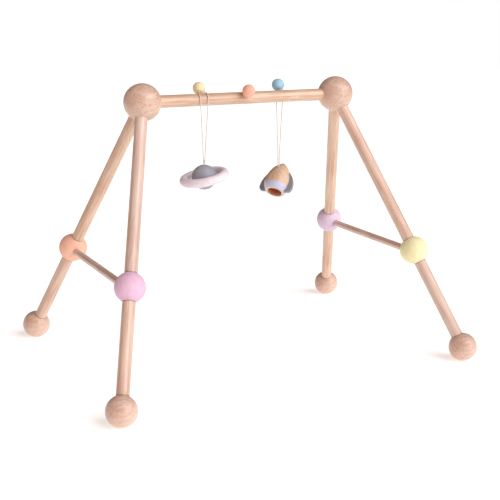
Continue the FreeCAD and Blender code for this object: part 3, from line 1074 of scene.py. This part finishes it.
@dataclass
class RingedPlanet:
    """The left toy: a dark ball with a pale ring round it on two pins."""

    ring_tilt: float = 12.0
    body: MattPaint = MattPaint(
        "slate_satin_paint", "#9C9FAC", "#93959F", patch_mm=6.0, rough=0.42, grain_share=0.5
    )
    ring: MattPaint = MattPaint(
        "lilac_wood_stain", "#EBE2EA", "#D9CAD6", patch_mm=14.0, rough=0.5, grain_share=0.8
    )

    def build(self) -> None:
        """Dress the planet, its ring and the dowel pins between them."""
        tilt = math.radians(self.ring_tilt)
        along = Vector((math.cos(tilt), 0, math.sin(tilt)))
        centre = box_centre("planet")
        dress("planet", self.body.material(Place(centre, Vector((0, 0, 1)))))
        dress("planet_ring", self.ring.material(Place(centre, along)))
        dress("ring_pins", self.body.material(Place(centre, along)))


@dataclass
class HollowRocket:
    """The right toy: a hollow wooden rocket with a painted band and two fins."""

    mouth: Point = (0.066645, 0.001084, 0.298235)
    tilt: float = 42.0
    heading: float = 38.0
    wood: OiledBeech = OiledBeech(
        "oiled_beech_rocket",
        Tone.WARM,
        ring_mm=5.0,
        fibre_mm=(1.0, 1.0, 26.0),
        pith_mm=(14.0, 20.0, 0.0),
    )
    band_shade: str = "#BEC2E0"
    band_mm: tuple[float, float] = (0.6, 11.5)
    # The radius of the hollow, the heights over which painted shadow darkens its wall, and where
    # the hollow and its painted shadow end.
    bore_mm: float = 13.8
    bore_shadow_fade_mm: tuple[float, float] = (1.0, 8.0)
    bore_shadow_end_mm: tuple[float, float] = (24.0, 23.5)
    # Colour of the painted shadow inside the hollow.
    bore_shadow_colour: str = "#BB6137"
    fins: MattPaint = MattPaint(
        "slate_matt_paint", "#909399", "#84878F", patch_mm=6.0, grain_share=0.6
    )

    def place(self) -> Place:
        """Give the rocket's mouth and the way that its nose points.

        Returns:
            The place.
        """
        tilt = math.radians(self.tilt)
        heading = math.radians(self.heading)
        level = math.sin(tilt)
        nose = (math.cos(heading) * level, math.sin(heading) * level, math.cos(tilt))
        return Place(Vector(self.mouth), Vector(nose))

    def build(self) -> None:
        """Dress the body and its fins."""
        dress("rocket_body", self.body_material())
        for number in (1, 2):
            node = f"rocket_fin_{number}"
            place = Place(box_centre(node), self.place().along)
            dress(node, self.fins.material(place))

    def body_material(self) -> bpy.types.Material:
        """Make the body's finish: beech, a painted band at the mouth, and painted shadow inside
        the hollow, darker deeper in.

        Returns:
            The material.
        """
        material, tree = new_material(self.wood.name)
        place = self.place()
        wood, height = self.wood.colour(tree, place)
        own = place.mapped(tree, (1.0, 1.0, 1.0))
        station = add_node(tree, "ShaderNodeSeparateXYZ", {0: own}).outputs[2]
        flat = add_node(
            tree, "ShaderNodeVectorMath", {0: own, 1: (1.0, 1.0, 0.0)}, operation="MULTIPLY"
        ).outputs[0]
        reach = add_node(
            tree, "ShaderNodeVectorMath", {0: flat}, operation="LENGTH"
        ).outputs["Value"]
        low, high = self.band_mm
        above = add_node(
            tree,
            "ShaderNodeMapRange",
            {"Value": station, "From Min": low - 0.2, "From Max": low + 0.2},
        ).outputs[0]
        below = add_node(
            tree,
            "ShaderNodeMapRange",
            {"Value": station, "From Min": high + 0.3, "From Max": high - 0.3},
        ).outputs[0]
        outside = add_node(
            tree,
            "ShaderNodeMapRange",
            {"Value": reach, "From Min": self.bore_mm + 0.6, "From Max": self.bore_mm + 1.2},
        ).outputs[0]
        band = add_node(
            tree, "ShaderNodeMath", {0: above, 1: below}, operation="MULTIPLY"
        ).outputs[0]
        coat = add_node(
            tree, "ShaderNodeMath", {0: band, 1: outside}, operation="MULTIPLY"
        ).outputs[0]
        painted = add_node(
            tree,
            "ShaderNodeMix",
            {0: coat, 6: wood, 7: linear(self.band_shade)},
            data_type="RGBA",
        ).outputs[2]
        # Painted shade: the wall of the hollow turns dark, more so deeper in, where shade falls.
        inside = add_node(
            tree,
            "ShaderNodeMapRange",
            {
                "Value": reach,
                "From Min": self.bore_mm + 0.4,
                "From Max": self.bore_mm,
                "To Max": 0.9,
            },
        ).outputs[0]
        painted_bore_shadow = inside
        for start, end in (self.bore_shadow_fade_mm, self.bore_shadow_end_mm):
            share = add_node(
                tree, "ShaderNodeMapRange", {"Value": station, "From Min": start, "From Max": end}
            ).outputs[0]
            painted_bore_shadow = add_node(
                tree, "ShaderNodeMath", {0: painted_bore_shadow, 1: share}, operation="MULTIPLY"
            ).outputs[0]
        colour = add_node(
            tree,
            "ShaderNodeMix",
            {0: painted_bore_shadow, 6: painted, 7: linear(self.bore_shadow_colour)},
            data_type="RGBA",
        ).outputs[2]
        close_material(tree, self.wood.shader(tree, colour, height))
        return material


PLANET_CORD = HangingCord(
    "planet",
    [
        (-0.08555, -0.0123, 0.3230),
        (-0.08555, -0.0123, 0.3690),
        (-0.08774, -0.0123, 0.4150),
        (-0.09033, -0.0123, 0.4692),
        (-0.09090, -0.0123, 0.4812),
        (-0.09040, -0.0073, 0.4878),
        (-0.08890, 0.0007, 0.4900),
        (-0.08660, 0.0076, 0.4874),
        (-0.08360, 0.0111, 0.4834),
        (-0.07700, 0.0112, 0.4832),
        (-0.07460, 0.0078, 0.4873),
        (-0.07430, 0.0009, 0.4900),
        (-0.07460, -0.0071, 0.4879),
        (-0.07550, -0.0123, 0.4812),
        (-0.07635, -0.0123, 0.4692),
        (-0.08019, -0.0123, 0.4150),
        (-0.08345, -0.0123, 0.3690),
        (-0.08345, -0.0123, 0.3230),
    ],
    length=0.3811,
    knots={
        "planet_knot": ((-0.0845, -0.0123, 0.3690), 0.0024),
        "planet_end_knot": ((-0.0845, -0.0123, 0.3230), 0.0035),
    },
)
ROCKET_CORD = HangingCord(
    "rocket",
    [
        (0.07995, 0.0123, 0.3077),
        (0.07995, 0.0123, 0.3540),
        (0.07804, 0.0123, 0.4003),
        (0.07520, 0.0123, 0.4692),
        (0.07470, 0.0123, 0.4812),
        (0.07470, 0.0088, 0.4865),
        (0.07700, 0.0039, 0.4892),
        (0.08350, 0.0037, 0.4892),
        (0.08710, 0.0080, 0.4871),
        (0.08840, 0.0123, 0.4812),
        (0.08780, 0.0123, 0.4692),
        (0.08436, 0.0123, 0.4003),
        (0.08205, 0.0123, 0.3540),
        (0.08205, 0.0123, 0.3077),
    ],
    length=0.3778,
    knots={"rocket_end_knot": ((0.0810, 0.0123, 0.3077), 0.0035)},
)


def main() -> None:
    """Build the whole gym, piece by piece."""
    logging.basicConfig(level=logging.INFO, format="%(message)s")
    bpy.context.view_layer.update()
    for part in (Studio(), PLANET_CORD, ROCKET_CORD, GymFrame(), RingedPlanet(), HollowRocket()):
        part.build()
        log.info("built %s", type(part).__name__)


if __name__ == "__main__":
    main()
